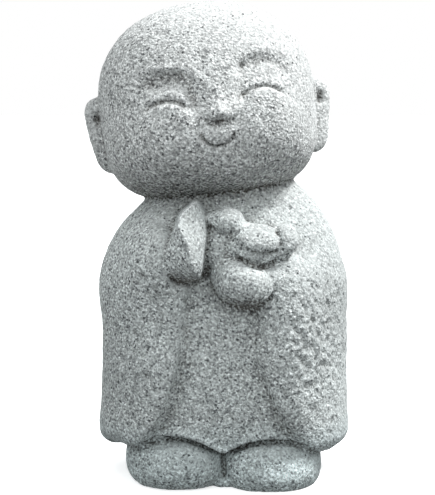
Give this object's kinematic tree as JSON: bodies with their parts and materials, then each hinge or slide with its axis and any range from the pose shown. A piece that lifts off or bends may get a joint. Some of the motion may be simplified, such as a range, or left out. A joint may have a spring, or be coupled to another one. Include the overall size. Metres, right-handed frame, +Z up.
{
  "type": "stone jizo statue",
  "caption": "Small child-like jizo carved from granite: round bald head tilted to the side, closed smiling eyes, sleeved robe, raised hand, and a small bird held in the other hand",
  "frame": {"origin": "middle of the flat underside, between the feet, on the ground plane", "axes": "+Z up the statue, the face looks along -Y, the statue's own right hand (the raised one) is on the -X side"},
  "size_m": [0.1682, 0.1313, 0.3005],
  "materials": {
    "granite": "matte, bush-hammered grey granite with white and black grains"
  },
  "bodies": {
    "root": {"jizo_statue": "granite"}
  },
  "joints": []
}
